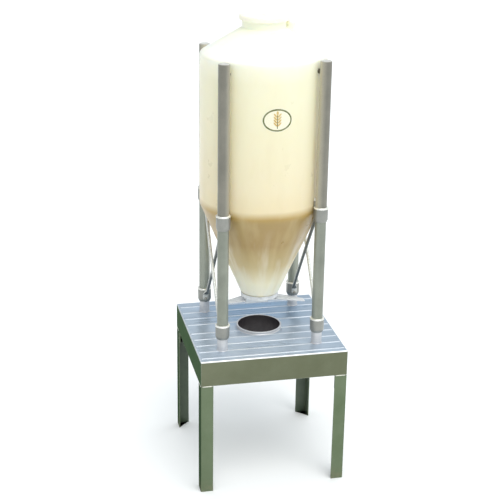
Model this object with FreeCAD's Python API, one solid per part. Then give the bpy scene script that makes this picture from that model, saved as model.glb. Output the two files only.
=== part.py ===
import FreeCAD, Part
import math
import os
from FreeCAD import Vector

# Toy farm feed silo on a sheet-metal stand. Millimetres, +Z up, the front of the silo faces -Y.
# Origin: centre of the stand at floor level.

# --- stand -----------------------------------------------------------------------------------
table_width = 160.0          # X and Y, the stand is square
table_height = 156.0         # floor to the top face
sheet = 1.0                  # sheet thickness
apron_height = 28.5
top_bend_radius = 1.5
corner_radius = 0.8
leg_flange = 13.5
tongue_overlap = 15.0        # of the legs' tongues below the apron
weld_gap = 1.0               # between the apron's lower edge and the legs, filled by the weld
weld_length = 10.6
weld_start = 0.6             # from the leg's free edge

rib_half_width = 1.1
rib_height = 0.5
rib_length = table_width - 5.0
rear_rib_first, rear_rib_pitch, rear_ribs = 15.5, 17.0, 4
front_rib_first, front_rib_pitch, front_ribs = -8.0, 16.0, 5

# --- drop ring in the middle of the stand --------------------------------------------------------
ring_bore = 23.3             # radius
ring_wall = 1.0
ring_lip_radius = 25.1
ring_rise = 3.6
ring_depth = 24.0
ring_groove_low, ring_groove_high = 1.3, 2.2     # above the top face
ring_rounding = 0.65

# --- posts ---------------------------------------------------------------------------------------
post_x, post_y = 51.9, 53.3
post_radius = 6.0
post_wall = 1.0
stub_radius = 5.7
collar_radius = 7.8
collar_body_radius = 7.5
collar_length = 16.0
collar_foot = 2.6            # height of the taper at the bottom
collar_rim, collar_chamfer = 1.7, 0.8
lower_collar_base = 13.8     # above the top face
# The upper collars sit at different heights above the top face, by (side in X, side in Y).
upper_collar_base = {(-1, -1): 136.0, (1, -1): 139.2, (-1, 1): 134.0, (1, 1): 136.4}
post_top = 308.0             # above the top face
plug_head = 0.8
plug_length, plug_lip = 7.0, 0.4
stub_bore = 2.0
stub_bore_depth = 11.0
stub_screw_flats, stub_screw_head = 7.0, 2.8
washer_radius, washer_thickness = 5.0, 0.8

# --- cross braces --------------------------------------------------------------------------------
brace_radius = 1.8
brace_offset = 1.4           # of each rod's ends from the plane of the posts
brace_bow = 0.45             # of each rod's middle, so that the crossed rods clear each other
saddle_thickness = 1.0
saddle_width, saddle_height = 8.0, 11.4
brace_high_shift = 2.2       # rod end below the middle of the upper collar
brace_low_shift = 3.0        # rod end above the middle of the lower collar
brace_screw_shift = 3.6      # screw beyond the middle of either collar
brace_overrun = 2.0          # of the rod into the flattened end
brace_screw_radius = 0.95
brace_screw_head, brace_screw_height = 1.9, 1.6

# --- vessel --------------------------------------------------------------------------------------
vessel_radius = 66.1
vessel_wall = 1.8
outlet_radius = 20.7
outlet_height = 43.4         # of the outlet rim, above the top face
cone_top = 147.0
shoulder_height = 308.0
neck_radius = 22.8
neck_base = 334.2
neck_top = 345.0
cone_fillet, shoulder_fillet, neck_fillet = 14.0, 4.0, 2.0
outlet_land = 4.0
outlet_land_radius = 18.7
boss_distance, boss_radius, boss_top, boss_fillet = 27.8, 5.4, 340.6, 2.4

# --- lid -----------------------------------------------------------------------------------------
lid_radius = 25.8
lid_bottom, lid_top = 341.9, 347.5
lid_clearance = 0.08
lid_edge = 1.6

# --- outlet and slide gate -----------------------------------------------------------------------
plate_thickness = 1.5
spigot_thickness, spigot_height = 1.4, 1.9
drop_hole_radius = 5.5
guide_height = 3.4
runner_left, runner_right, runner_width = -17.5, 7.5, 19.6
runner_height = 5.6          # below the guide's disc
runner_mouth = 14.0          # between the two lips that carry the slide
gate_top = 35.0              # above the top face
gate_thickness = 1.2
gate_width = 17.2
gate_clearance = 0.08
gate_travel = 12.0
gate_left_bend, gate_right_bend = -18.0, 20.0
gate_left_end, gate_right_end = -40.0, 51.5
gate_left_width, gate_right_width = 6.0, 7.6
gate_left_angle, gate_right_angle = 8.0, 11.7
gate_bend_radius = 3.0
guide_screw_x, guide_screw_y = 10.0, 12.4
guide_screw_radius, guide_screw_head, guide_screw_height = 1.0, 2.1, 1.2

# --- fixings between posts and vessel ------------------------------------------------------------
spacer_height = 297.0        # above the top face
spacer_radius = 2.4
pin_width, pin_height = 3.4, 8.2
pin_screw_rise = 4.0         # above the upper collar
vessel_screw_radius = 1.25
vessel_screw_head = 2.1
vessel_screw_tip = 70.9      # distance of the screw's tip from the silo's axis

# --- badge on the front --------------------------------------------------------------------------
badge_height = 252.5         # above the top face
badge_width = 39.0
badge_thickness = 0.3

CORNERS = {
    "front_left": (-1, -1),
    "front_right": (1, -1),
    "back_left": (-1, 1),
    "back_right": (1, 1),
}
UP = Vector(0, 0, 1)
hole_clearance = 0.05        # between a screw and its hole, on the radius
through = 5.0                # how far a cutter runs past the sheet or plate that it cuts
post_distance = math.hypot(post_x, post_y)


def save(shape, node):
    shape.exportStep(f"parts/{node}.step")


def cylinder(radius, bottom, top, x=0.0, y=0.0):
    return Part.makeCylinder(radius, top - bottom, Vector(x, y, bottom), UP)


def tube(outer, inner, bottom, top, x=0.0, y=0.0):
    return cylinder(outer, bottom, top, x, y).cut(cylinder(inner, bottom, top, x, y))


def box(x0, x1, y0, y1, z0, z1):
    return Part.makeBox(x1 - x0, y1 - y0, z1 - z0, Vector(x0, y0, z0))


def rounded_wire(corners):
    """Closed wire in the XZ plane through (x, z, radius) corners, each rounded by its radius."""
    count = len(corners)
    ends = []
    for i, (x, z, radius) in enumerate(corners):
        here = Vector(x, 0, z)
        before = Vector(corners[i - 1][0], 0, corners[i - 1][1]) - here
        after = Vector(corners[(i + 1) % count][0], 0, corners[(i + 1) % count][1]) - here
        if radius <= 0:
            ends.append((here, here, None))
            continue
        turn = math.pi - before.getAngle(after)
        reach = radius * math.tan(turn / 2)
        before.normalize()
        after.normalize()
        middle = (before + after).normalize()
        centre = here + middle * (radius / math.cos(turn / 2))
        ends.append((here + before * reach, here + after * reach, centre - middle * radius))
    edges = []
    for i, (arc_start, arc_end, arc_middle) in enumerate(ends):
        if arc_middle is not None:
            edges.append(Part.Arc(arc_start, arc_middle, arc_end).toShape())
        following = ends[(i + 1) % count][0]
        if arc_end.distanceToPoint(following) > 1e-6:
            edges.append(Part.LineSegment(arc_end, following).toShape())
    return Part.Wire(edges)


def turned(corners):
    """Solid of revolution about Z from a profile of (radius, height, rounding) corners."""
    face = Part.Face(rounded_wire(corners))
    return face.revolve(Vector(0, 0, 0), UP, 360)


def above_table(corners):
    return [(r, z + table_height, rounding) for r, z, rounding in corners]


def moved(shape, x=0.0, y=0.0, z=0.0):
    copy = shape.copy()
    copy.translate(Vector(x, y, z))
    return copy


def to_corner(shape, side_x, side_y):
    """Turn a shape made along +X about the silo's axis to one post."""
    copy = shape.copy()
    angle = math.degrees(math.atan2(side_y * post_y, side_x * post_x))
    copy.rotate(Vector(0, 0, 0), UP, angle)
    return copy


def group(shapes):
    return Part.makeCompound(shapes)


# --- stand ---------------------------------------------------------------------------------------
def rib_positions():
    rear = [rear_rib_first + rear_rib_pitch * i for i in range(rear_ribs)]
    front = [front_rib_first - front_rib_pitch * i for i in range(front_ribs)]
    return rear + front


def rib(y):
    """Shallow bead along X: the top of a round bar that lies in the sheet."""
    radius = (rib_half_width ** 2 + rib_height ** 2) / (2 * rib_height)
    axis_z = table_height + rib_height - radius
    start = Vector(-rib_length / 2, y, axis_z)
    bar = Part.makeCylinder(radius, rib_length, start, Vector(1, 0, 0))
    half = table_width / 2
    bottom, top = table_height - sheet / 2, table_height + radius
    return bar.common(box(-half, half, y - radius, y + radius, bottom, top))


def table_top():
    half = table_width / 2
    bottom = table_height - apron_height
    body = box(-half, half, -half, half, bottom, table_height)
    upright = [e for e in body.Edges if abs(e.tangentAt(e.FirstParameter).z) > 0.9]
    body = body.makeFillet(corner_radius, upright)
    rim = [e for e in body.Edges if e.BoundBox.ZMin > table_height - 0.01]
    body = body.makeFillet(top_bend_radius, rim)
    inner = half - sheet
    body = body.cut(box(-inner, inner, -inner, inner, bottom - 1, table_height - sheet))
    for y in rib_positions():
        body = body.fuse(rib(y))
    low, high = table_height - through, table_height + through
    body = body.cut(cylinder(ring_lip_radius, table_height, high))
    body = body.cut(cylinder(ring_bore + ring_wall + 2 * hole_clearance, low, high))
    for side_x, side_y in CORNERS.values():
        x, y = side_x * post_x, side_y * post_y
        body = body.cut(cylinder(stub_radius, table_height, high, x, y))
        body = body.cut(cylinder(stub_bore + 2 * hole_clearance, low, high, x, y))
    return body.removeSplitter()


def angle_section(outer, bottom, top):
    """Angle section of sheet whose outer faces lie at +X and +Y, open towards the middle of the stand."""
    inner, end = outer - sheet, table_width / 2 - leg_flange
    return box(end, outer, end, outer, bottom, top).cut(box(0, inner, 0, inner, bottom - 1, top + 1))


def leg(side_x, side_y):
    """Angle flush with the apron, with a tongue behind it that reaches up inside the apron."""
    half = table_width / 2
    joint = table_height - apron_height - weld_gap
    shown = angle_section(half, 0, joint)
    corner = [e for e in shown.Edges
              if abs(e.tangentAt(e.FirstParameter).z) > 0.9
              and e.BoundBox.XMin > half - 0.01 and e.BoundBox.YMin > half - 0.01]
    shown = shown.makeFillet(corner_radius, corner)
    tongue = angle_section(half - sheet, joint - tongue_overlap, table_height - sheet)
    return mirrored(shown.fuse(tongue).removeSplitter(), side_x, side_y)


def mirrored(shape, side_x, side_y):
    if side_x < 0:
        shape = shape.mirror(Vector(0, 0, 0), Vector(1, 0, 0))
    if side_y < 0:
        shape = shape.mirror(Vector(0, 0, 0), Vector(0, 1, 0))
    return shape


def leg_welds():
    """Welds that fill the gap between the apron's lower edge and the legs, two on each leg."""
    half = table_width / 2
    top = table_height - apron_height
    start = half - leg_flange + weld_start
    end = start + weld_length
    along_x = box(start, end, half - sheet, half, top - weld_gap, top)
    along_y = box(half - sheet, half, start, end, top - weld_gap, top)
    beads = []
    for side_x, side_y in CORNERS.values():
        beads += [mirrored(along_x, side_x, side_y), mirrored(along_y, side_x, side_y)]
    return group(beads)


def drop_ring():
    wall = ring_bore + ring_wall
    return turned(above_table([
        (ring_bore, -ring_depth, 0.0),
        (wall, -ring_depth, 0.0),
        (wall, 0.0, 0.0),
        (ring_lip_radius, 0.0, 0.0),
        (ring_lip_radius - 0.3, 0.6, 0.0),
        (wall, ring_groove_low, 0.4),
        (wall, ring_groove_high, 0.3),
        (ring_lip_radius, ring_groove_high, 0.6),
        (ring_lip_radius, ring_rise, ring_rounding),
        (ring_bore, ring_rise, ring_rounding),
    ]))


# --- posts ---------------------------------------------------------------------------------------
def base_stub(x, y):
    top = table_height + lower_collar_base + collar_length / 2
    stub = cylinder(stub_radius, table_height, top, x, y)
    return stub.cut(cylinder(stub_bore, table_height, table_height + stub_bore_depth, x, y))


def collar(x, y, base, lower_bore):
    """Sleeve coupling with a chamfered rim, a tapered foot and one bore for each tube."""
    middle = collar_length / 2
    top = collar_length
    corners = [
        (lower_bore, 0.0, 0.0),
        (lower_bore + 0.7, 0.0, 0.3),
        (collar_body_radius, collar_foot, 1.2),
        (collar_body_radius, top - collar_rim - 0.5, 0.4),
        (collar_radius, top - collar_rim, 0.2),
        (collar_radius, top - collar_chamfer, 0.2),
        (collar_radius - collar_chamfer, top, 0.2),
        (post_radius, top, 0.0),
    ]
    if lower_bore < post_radius:
        corners += [(post_radius, middle, 0.0), (lower_bore, middle, 0.0)]
    sleeve = moved(turned(corners), x, y, table_height + base)
    facing = Vector(0, -1 if y > 0 else 1, 0)
    shift = -brace_screw_shift if base == lower_collar_base else brace_screw_shift
    hole_start = Vector(x, y, table_height + base + middle + shift)
    hole = Part.makeCylinder(brace_screw_radius + hole_clearance, collar_radius, hole_start, facing)
    return sleeve.cut(hole)


def joint_height(side_x, side_y):
    """Height above the floor at which the lower and the upper post meet."""
    return table_height + upper_collar_base[side_x, side_y] + collar_length / 2


def lower_post(side_x, side_y):
    bottom = table_height + lower_collar_base + collar_length / 2
    top = joint_height(side_x, side_y)
    return tube(post_radius, post_radius - post_wall, bottom, top, side_x * post_x, side_y * post_y)


def upper_post(side_x, side_y):
    bottom, top = joint_height(side_x, side_y), table_height + post_top
    post = tube(post_radius, post_radius - post_wall, bottom, top, side_x * post_x, side_y * post_y)
    for height in vessel_screw_heights(side_x, side_y):
        post = post.cut(to_corner(vessel_screw_hole(height, post_distance), side_x, side_y))
    return post


def post_plugs():
    """White plugs that close the tops of the four posts."""
    bore = post_radius - post_wall
    plug = turned([
        (0.0, -plug_length, 0.0),
        (bore, -plug_length, 0.8),
        (bore, 0.0, 0.0),
        (bore + plug_lip, 0.0, 0.0),
        (bore + plug_lip, plug_head, 0.5),
        (0.0, plug_head, 0.0),
    ])
    top = table_height + post_top
    return group([moved(plug, sx * post_x, sy * post_y, top) for sx, sy in CORNERS.values()])


def stub_washers():
    top = table_height - sheet
    hole = stub_bore + 2 * hole_clearance
    washer = tube(washer_radius, hole, top - washer_thickness, top)
    return group([moved(washer, sx * post_x, sy * post_y) for sx, sy in CORNERS.values()])


def hexagon(across_flats, bottom, top):
    radius = across_flats / math.sqrt(3)
    angles = [math.radians(60 * i) for i in range(7)]
    points = [Vector(radius * math.cos(a), radius * math.sin(a), bottom) for a in angles]
    return Part.Face(Part.makePolygon(points)).extrude(Vector(0, 0, top - bottom))


def stub_screws():
    """Hexagon screws that hold the stubs from below the stand."""
    seat = table_height - sheet - washer_thickness
    head = hexagon(stub_screw_flats, seat - stub_screw_head, seat)
    shank = cylinder(stub_bore - hole_clearance, seat, table_height + stub_bore_depth - 1.5)
    screw = head.fuse(shank).removeSplitter()
    return group([moved(screw, sx * post_x, sy * post_y) for sx, sy in CORNERS.values()])


# --- cross braces --------------------------------------------------------------------------------
def saddle(x, side_y, z):
    """Flattened rod end, curved round the collar on its side towards the middle of the stand."""
    y = side_y * post_y
    band = tube(collar_body_radius + saddle_thickness, collar_body_radius, z - 10, z + 10, x, y)
    half_w, half_h, rounding = saddle_width / 2, saddle_height / 2, 3.2
    outline = Part.Face(rounded_wire([
        (x - half_w, z - half_h, rounding), (x + half_w, z - half_h, rounding),
        (x + half_w, z + half_h, rounding), (x - half_w, z + half_h, rounding)]))
    outline.translate(Vector(0, y, 0))
    return band.common(outline.extrude(Vector(0, -side_y * 2 * collar_radius, 0)))


def bowed_rod(radius, start, end, bow):
    """Round rod from start to end whose middle is moved aside by the vector bow."""
    path = Part.Arc(start, (start + end) / 2 + bow, end).toShape()
    section = Part.Circle(start, path.tangentAt(path.FirstParameter), radius).toShape()
    return Part.Wire([path]).makePipeShell([Part.Wire([section])], True, False)


def brace(side_x, high_side, outwards):
    """Rod from the upper collar on one side (high_side, -1 front) to the opposite lower collar."""
    x = side_x * post_x
    rod_x = x + outwards * brace_offset
    reach = post_y - collar_body_radius - saddle_thickness / 2
    high = joint_height(side_x, high_side)
    low = table_height + lower_collar_base + collar_length / 2
    start = Vector(rod_x, high_side * reach, high - brace_high_shift)
    end = Vector(rod_x, -high_side * reach, low + brace_low_shift)
    direction = end - start
    overrun = direction * (brace_overrun / direction.Length)
    rod = bowed_rod(brace_radius, start - overrun, end + overrun, Vector(outwards * brace_bow, 0, 0))
    rod = rod.fuse(saddle(x, high_side, high)).fuse(saddle(x, -high_side, low))
    for side_y in (-1, 1):
        rod = rod.cut(cylinder(collar_body_radius, 0, 600, x, side_y * post_y))
    for side_y, z in ((high_side, high + brace_screw_shift), (-high_side, low - brace_screw_shift)):
        middle = Vector(x, side_y * post_y, z)
        hole = Part.makeCylinder(brace_screw_radius + hole_clearance, 2 * collar_radius,
                                 middle, Vector(0, -side_y, 0))
        rod = rod.cut(hole)
    return rod.removeSplitter()


def brace_screw(x, side_y, z):
    """Round-headed screw through a saddle into the collar's wall."""
    y = side_y * post_y
    seat = collar_body_radius + saddle_thickness
    towards_middle = Vector(0, -side_y, 0)
    base_y = y - side_y * (seat - 0.4)
    crown_y = base_y - side_y * brace_screw_height
    head = Part.makeCylinder(brace_screw_head, brace_screw_height, Vector(x, base_y, z), towards_middle)
    crown = [e for e in head.Edges if abs(e.BoundBox.Center.y - crown_y) < 0.01 and e.Closed]
    head = head.makeFillet(brace_screw_height / 2, crown[:1])
    head = head.cut(cylinder(seat, z - through, z + through, x, y))
    shank_start = Vector(x, y - side_y * (post_radius + hole_clearance), z)
    shank = Part.makeCylinder(brace_screw_radius, seat - post_radius, shank_start, towards_middle)
    return head.fuse(shank).removeSplitter()


def brace_screws():
    low = table_height + lower_collar_base + collar_length / 2 - brace_screw_shift
    screws = []
    for side_x, side_y in CORNERS.values():
        high = joint_height(side_x, side_y) + brace_screw_shift
        screws += [brace_screw(side_x * post_x, side_y, z) for z in (low, high)]
    return group(screws)


# --- vessel --------------------------------------------------------------------------------------
def vessel_outside():
    return turned(above_table([
        (0.0, outlet_height, 0.0),
        (outlet_radius, outlet_height, 0.0),
        (vessel_radius, cone_top, cone_fillet),
        (vessel_radius, shoulder_height, shoulder_fillet),
        (neck_radius, neck_base, neck_fillet),
        (neck_radius, neck_top, 0.0),
        (0.0, neck_top, 0.0),
    ]))


def vessel_inside():
    """The space inside: the outside drawn in by the wall, with a straight seat for the outlet plate."""
    cone_slope = (vessel_radius - outlet_radius) / (cone_top - outlet_height)
    roof_slope = (neck_base - shoulder_height) / (vessel_radius - neck_radius)
    cone_wall = vessel_wall * math.hypot(1, cone_slope)
    roof_wall = vessel_wall * math.hypot(1, roof_slope)
    inner_radius = vessel_radius - vessel_wall
    inner_neck = neck_radius - vessel_wall
    funnel_height = outlet_height + 2 * outlet_land
    funnel_radius = outlet_radius - cone_wall + cone_slope * 2 * outlet_land
    inner_cone_top = outlet_height + (inner_radius - outlet_radius + cone_wall) / cone_slope
    inner_shoulder = shoulder_height + roof_slope * vessel_wall - roof_wall
    inner_neck_base = neck_base + roof_slope * vessel_wall - roof_wall
    return turned(above_table([
        (0.0, outlet_height, 0.0),
        (outlet_land_radius, outlet_height, 0.0),
        (outlet_land_radius, outlet_height + outlet_land, 0.0),
        (funnel_radius, funnel_height, 0.0),
        (inner_radius, inner_cone_top, cone_fillet - vessel_wall),
        (inner_radius, inner_shoulder, shoulder_fillet - vessel_wall),
        (inner_neck, inner_neck_base, neck_fillet),
        (inner_neck, neck_top, 0.0),
        (0.0, neck_top, 0.0),
    ]))


def roof_boss():
    """Small moulded stub on the roof beside the neck."""
    bottom = table_height + shoulder_height
    stub = cylinder(boss_radius, bottom, table_height + boss_top, boss_distance, 0)
    crown = [e for e in stub.Edges if e.BoundBox.ZMin > table_height + boss_top - 0.01]
    return stub.makeFillet(boss_fillet, crown)


def vessel_body():
    body = vessel_outside().fuse(roof_boss()).cut(vessel_inside())
    for side_x, side_y in CORNERS.values():
        for height in vessel_screw_heights(side_x, side_y):
            hole = vessel_screw_hole(height, post_distance)
            body = body.cut(to_corner(hole, side_x, side_y))
    return body.removeSplitter()


def lid():
    """Cap that sits over the neck and rests on its rim."""
    skirt = neck_radius + lid_clearance
    return turned(above_table([
        (0.0, neck_top, 0.0),
        (skirt, neck_top, 0.0),
        (skirt, lid_bottom, 0.0),
        (lid_radius, lid_bottom, 0.5),
        (lid_radius, lid_top, lid_edge),
        (0.0, lid_top, 0.0),
    ]))


def front_badge():
    """Thin printed badge: an arch over a band over a ribbon, bent round the vessel."""
    z = table_height + badge_height
    half = badge_width / 2
    depth = Vector(0, -2 * vessel_radius, 0)
    arch = Part.Face(rounded_wire([
        (-15.0, z - 4.0, 0.0), (15.0, z - 4.0, 0.0), (15.0, z + 15.5, 14.0), (-15.0, z + 15.5, 14.0)]))
    band = Part.Face(rounded_wire([
        (-half, z - 7.0, 3.0), (half, z - 7.0, 3.0), (half, z + 4.0, 3.0), (-half, z + 4.0, 3.0)]))
    ribbon = Part.Face(rounded_wire([
        (-11.0, z - 15.0, 2.5), (11.0, z - 15.0, 2.5), (11.0, z - 5.0, 0.0), (-11.0, z - 5.0, 0.0)]))
    outline = arch.extrude(depth).fuse(band.extrude(depth)).fuse(ribbon.extrude(depth))
    inner = vessel_radius + 0.02
    shell = tube(inner + badge_thickness, inner, z - 30, z + 30)
    return shell.common(outline).removeSplitter()


# --- fixings between posts and vessel ------------------------------------------------------------
def radial_rod(radius, start, end, height):
    return Part.makeCylinder(radius, end - start, Vector(start, 0, table_height + height), Vector(1, 0, 0))


def pin_seat(side_x, side_y):
    """Top of the upper collar, above the top face."""
    return upper_collar_base[side_x, side_y] + collar_length


def vessel_screw_heights(side_x, side_y):
    return spacer_height, pin_seat(side_x, side_y) + pin_screw_rise


def vessel_screw_hole(height, end):
    """Hole along +X for a screw that runs from inside the vessel towards the post."""
    return radial_rod(vessel_screw_radius + hole_clearance, vessel_radius - 10.0, end, height)


def between_post_and_vessel(blank):
    """Trim a blank made along +X to the gap between the vessel and the post."""
    post = cylinder(post_radius, 0, 600, post_distance, 0)
    return blank.cut(vessel_outside()).cut(post)


def vessel_spacers():
    """Dark bushes between the tops of the posts and the vessel."""
    blank = radial_rod(spacer_radius, vessel_radius - 4.0, post_distance, spacer_height)
    bush = between_post_and_vessel(blank).cut(vessel_screw_hole(spacer_height, post_distance))
    return group([to_corner(bush, sx, sy) for sx, sy in CORNERS.values()])


def support_pins():
    """Upright lugs that stand on the upper collars and carry the vessel's screws."""
    half = pin_width / 2
    lugs = []
    for side_x, side_y in CORNERS.values():
        seat = pin_seat(side_x, side_y)
        bottom, top = table_height + seat, table_height + seat + pin_height
        blank = box(vessel_radius - 4.0, post_distance, -half, half, bottom, top)
        crown = [e for e in blank.Edges if e.BoundBox.ZMin > top - 0.01 and e.BoundBox.XLength > half]
        lug = between_post_and_vessel(blank.makeFillet(1.5, crown))
        lug = lug.cut(vessel_screw_hole(seat + pin_screw_rise, post_distance))
        lugs.append(to_corner(lug, side_x, side_y))
    return group(lugs)


def vessel_screw(height):
    """Pan-head screw along +X whose head seats on the inside of the vessel."""
    inner = vessel_radius - vessel_wall
    head = radial_rod(vessel_screw_head, inner - 1.8, inner + 0.5, height)
    crown = [e for e in head.Edges if e.BoundBox.XMax < inner - 1.7]
    head = head.makeFillet(1.0, crown).common(cylinder(inner, 0, 600))
    shank = radial_rod(vessel_screw_radius, inner - 1.0, vessel_screw_tip, height)
    return head.fuse(shank).removeSplitter()


def vessel_screws():
    """Screws from inside the vessel, through its wall, into the posts."""
    return group([to_corner(vessel_screw(height), side_x, side_y)
                  for side_x, side_y in CORNERS.values()
                  for height in vessel_screw_heights(side_x, side_y)])


# --- outlet and slide gate -----------------------------------------------------------------------
def guide_screw_places():
    return [(sx * guide_screw_x, sy * guide_screw_y) for sx, sy in CORNERS.values()]


def outlet_plate():
    """Disc that closes the outlet, with a spigot inside the vessel and a small drop hole."""
    top = table_height + outlet_height
    spigot = outlet_land_radius - 0.05
    plate = cylinder(outlet_radius, top - plate_thickness, top)
    plate = plate.fuse(tube(spigot, spigot - spigot_thickness, top, top + spigot_height))
    plate = plate.cut(cylinder(drop_hole_radius, top - through, top + through))
    for x, y in guide_screw_places():
        hole = cylinder(guide_screw_radius + hole_clearance, top - through, top + through, x, y)
        plate = plate.cut(hole)
    return plate.removeSplitter()


def gate_guide():
    """Disc under the outlet plate with a runner below it that carries the slide along X."""
    top = table_height + outlet_height - plate_thickness
    bottom = top - guide_height
    block = turned([
        (0.0, bottom, 0.0), (outlet_radius, bottom, 0.8), (outlet_radius, top, 0.0), (0.0, top, 0.0)])
    left, right, side = runner_left, runner_right, runner_width / 2
    foot = bottom - runner_height
    block = block.fuse(box(left, right, -side, side, foot, bottom))
    half = gate_width / 2 + gate_clearance
    roof = table_height + gate_top + gate_clearance
    seat = roof - gate_thickness - 2 * gate_clearance
    mouth = runner_mouth / 2
    block = block.cut(box(left, right, -half, half, seat, roof))
    block = block.cut(box(left, right, -mouth, mouth, foot - through, seat))
    block = block.cut(cylinder(drop_hole_radius, foot - through, top + through))
    for x, y in guide_screw_places():
        hole = cylinder(guide_screw_radius + hole_clearance, bottom - through, top + through, x, y)
        block = block.cut(hole)
    return block.removeSplitter()


def guide_screws():
    top = table_height + outlet_height
    bottom = top - plate_thickness - guide_height
    crown = bottom - guide_screw_height
    screw = turned([
        (0.0, crown, 0.0), (guide_screw_head, crown, 0.8), (guide_screw_head, bottom, 0.0),
        (guide_screw_radius, bottom, 0.0), (guide_screw_radius, top, 0.0), (0.0, top, 0.0)])
    return group([moved(screw, x, y) for x, y in guide_screw_places()])


def slide_gate():
    """Flat strip with both ends bent down as pull tabs. At rest its hole stands clear of the outlet."""
    top = table_height + gate_top
    bottom = top - gate_thickness
    left_drop = (gate_left_bend - gate_left_end) * math.tan(math.radians(gate_left_angle))
    right_drop = (gate_right_end - gate_right_bend) * math.tan(math.radians(gate_right_angle))
    side = Part.Face(rounded_wire([
        (gate_left_end, bottom - left_drop, 0.0),
        (gate_left_bend, bottom, gate_bend_radius),
        (gate_right_bend, bottom, gate_bend_radius),
        (gate_right_end, bottom - right_drop, 0.0),
        (gate_right_end, top - right_drop, 0.0),
        (gate_right_bend, top, gate_bend_radius + gate_thickness),
        (gate_left_bend, top, gate_bend_radius + gate_thickness),
        (gate_left_end, top - left_drop, 0.0),
    ]))
    side.translate(Vector(0, gate_width / 2, 0))
    strip = side.extrude(Vector(0, -gate_width, 0))
    half = gate_width / 2
    front = [(gate_left_end, -gate_left_width / 2), (gate_left_bend, -half),
             (gate_right_bend, -half), (gate_right_end, -gate_right_width / 2)]
    outline = front + [(x, -y) for x, y in reversed(front)]
    points = [Vector(x, y, bottom - 20) for x, y in outline]
    plan = Part.Face(Part.makePolygon(points + points[:1])).extrude(Vector(0, 0, 40))
    tips = [e for e in plan.Edges
            if abs(e.tangentAt(e.FirstParameter).z) > 0.9
            and not gate_left_bend <= e.BoundBox.Center.x <= gate_right_bend]
    strip = strip.common(plan.makeFillet(1.2, tips))
    strip = strip.cut(cylinder(drop_hole_radius, bottom - through, top + through, gate_travel, 0))
    return strip.removeSplitter()


# --- all parts -----------------------------------------------------------------------------------
def main():
    os.makedirs("parts", exist_ok=True)
    save(table_top(), "table_top")
    save(leg_welds(), "leg_welds")
    save(drop_ring(), "drop_ring")
    for name, (side_x, side_y) in CORNERS.items():
        x, y = side_x * post_x, side_y * post_y
        save(leg(side_x, side_y), f"leg_{name}")
        save(base_stub(x, y), f"base_stub_{name}")
        save(collar(x, y, lower_collar_base, stub_radius), f"lower_collar_{name}")
        save(lower_post(side_x, side_y), f"lower_post_{name}")
        upper_base = upper_collar_base[side_x, side_y]
        save(collar(x, y, upper_base, post_radius), f"upper_collar_{name}")
        save(upper_post(side_x, side_y), f"upper_post_{name}")
    save(post_plugs(), "post_plugs")
    save(stub_washers(), "stub_washers")
    save(stub_screws(), "stub_screws")
    for name, side_x in (("left", -1), ("right", 1)):
        save(brace(side_x, 1, side_x), f"brace_{name}_outer")
        save(brace(side_x, -1, -side_x), f"brace_{name}_inner")
    save(brace_screws(), "brace_screws")
    save(vessel_body(), "vessel_body")
    save(lid(), "lid")
    save(front_badge(), "front_badge")
    save(vessel_spacers(), "vessel_spacers")
    save(support_pins(), "support_pins")
    save(vessel_screws(), "vessel_screws")
    save(outlet_plate(), "outlet_plate")
    save(gate_guide(), "gate_guide")
    save(guide_screws(), "guide_screws")
    save(slide_gate(), "slide_gate")


main()
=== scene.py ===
import math

import bmesh
import bpy
from mathutils import Matrix, Vector, noise

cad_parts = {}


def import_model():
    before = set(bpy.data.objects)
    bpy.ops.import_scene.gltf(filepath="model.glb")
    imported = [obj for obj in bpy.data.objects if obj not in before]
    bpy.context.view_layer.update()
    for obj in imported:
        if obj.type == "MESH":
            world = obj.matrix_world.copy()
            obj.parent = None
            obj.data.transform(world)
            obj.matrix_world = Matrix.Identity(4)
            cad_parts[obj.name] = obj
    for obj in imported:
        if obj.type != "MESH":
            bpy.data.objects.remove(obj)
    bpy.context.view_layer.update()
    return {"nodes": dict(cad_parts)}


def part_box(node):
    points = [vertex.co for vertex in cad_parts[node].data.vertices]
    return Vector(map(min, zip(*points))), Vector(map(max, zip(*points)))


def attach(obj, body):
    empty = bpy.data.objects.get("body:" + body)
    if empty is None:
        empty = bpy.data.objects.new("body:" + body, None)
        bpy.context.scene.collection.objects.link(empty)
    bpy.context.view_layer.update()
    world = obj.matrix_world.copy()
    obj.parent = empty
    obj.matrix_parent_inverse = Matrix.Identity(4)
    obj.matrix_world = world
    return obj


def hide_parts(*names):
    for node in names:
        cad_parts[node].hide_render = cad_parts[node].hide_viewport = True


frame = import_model()

# Toy farm feed silo. Metres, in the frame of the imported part: +Z up, the front faces -Y.
MM = 0.001
CORNERS = {
    "front_left": (-1, -1),
    "front_right": (1, -1),
    "back_left": (-1, 1),
    "back_right": (1, 1),
}

# --- places read from the frame ---
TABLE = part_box("base_stub_front_left")[0].z
STAND_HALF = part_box("table_top")[1].x
APRON_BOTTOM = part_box("table_top")[0].z
VESSEL_BOTTOM, VESSEL_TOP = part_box("vessel_body")[0].z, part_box("vessel_body")[1].z
VESSEL_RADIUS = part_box("vessel_body")[1].x
LID_BOTTOM, LID_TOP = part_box("lid")[0].z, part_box("lid")[1].z
LID_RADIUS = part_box("lid")[1].x
RING_BOTTOM, RING_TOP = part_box("drop_ring")[0].z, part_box("drop_ring")[1].z
RING_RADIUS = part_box("drop_ring")[1].x
BADGE_LOW, BADGE_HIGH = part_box("front_badge")


def middle(node):
    low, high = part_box(node)
    return (low + high) / 2


POST_X, POST_Y = middle("lower_post_front_right").x, -middle("lower_post_front_right").y
POST_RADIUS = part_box("lower_post_front_right")[1].x - POST_X

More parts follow.
